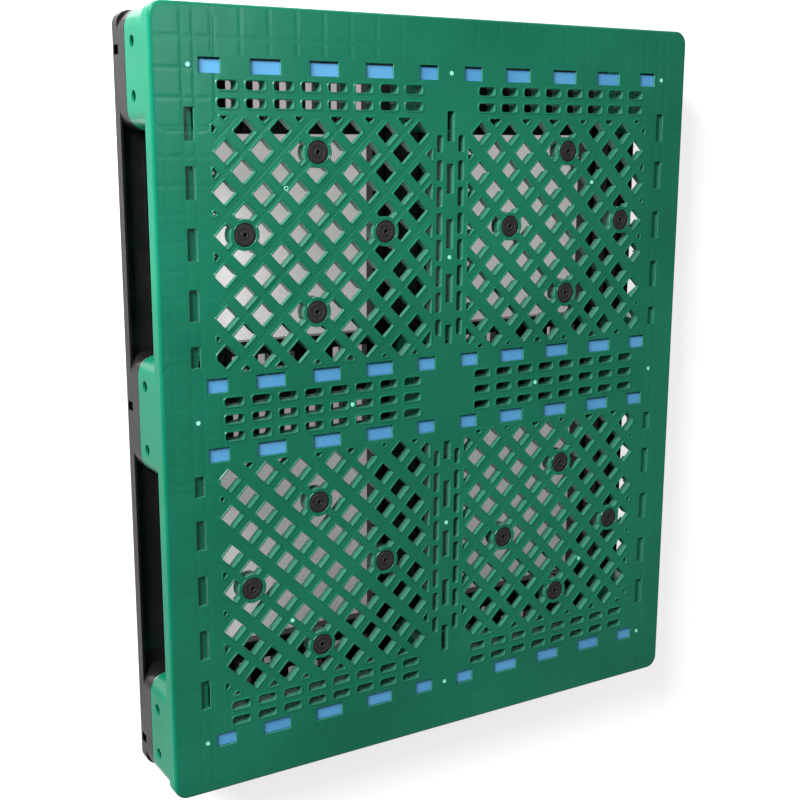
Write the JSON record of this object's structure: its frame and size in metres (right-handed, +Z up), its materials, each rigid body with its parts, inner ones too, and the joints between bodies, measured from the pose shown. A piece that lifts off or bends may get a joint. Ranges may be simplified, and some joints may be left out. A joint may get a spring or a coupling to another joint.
{
  "type": "plastic pallet",
  "caption": "Green and black plastic warehouse pallet with a diagonal lattice deck, hollow blocks, blue steel reinforcing tubes and black anti-slip rubber plugs.",
  "frame": {"origin": "centre of the footprint, on the surface that the pallet stands on", "axes": "+Z up, from the black base to the green load face; +Y along the 1200 mm length; +X along the 1000 mm width"},
  "size_m": [1, 1.2, 0.151],
  "materials": {
    "green_plastic": "satin",
    "black_plastic": "satin",
    "black_rubber": "matte",
    "blue_steel": "satin"
  },
  "bodies": {
    "root": {"top_deck": "green_plastic", "bottom_deck": "black_plastic", "upper_block_front_left": "green_plastic", "upper_block_middle_left": "green_plastic", "upper_block_back_left": "green_plastic", "upper_block_front_centre": "green_plastic", "upper_block_middle_centre": "green_plastic", "upper_block_back_centre": "green_plastic", "upper_block_front_right": "green_plastic", "upper_block_middle_right": "green_plastic", "upper_block_back_right": "green_plastic", "reinforcing_tube_1": "blue_steel", "reinforcing_tube_2": "blue_steel", "reinforcing_tube_3": "blue_steel", "reinforcing_tube_4": "blue_steel", "anti_slip_plug_01": "black_rubber", "anti_slip_plug_02": "black_rubber", "anti_slip_plug_03": "black_rubber", "anti_slip_plug_04": "black_rubber", "anti_slip_plug_05": "black_rubber", "anti_slip_plug_06": "black_rubber", "anti_slip_plug_07": "black_rubber", "anti_slip_plug_08": "black_rubber", "anti_slip_plug_09": "black_rubber", "anti_slip_plug_10": "black_rubber", "anti_slip_plug_11": "black_rubber", "anti_slip_plug_12": "black_rubber", "anti_slip_plug_13": "black_rubber", "anti_slip_plug_14": "black_rubber", "anti_slip_plug_15": "black_rubber", "anti_slip_plug_16": "black_rubber"}
  },
  "joints": []
}
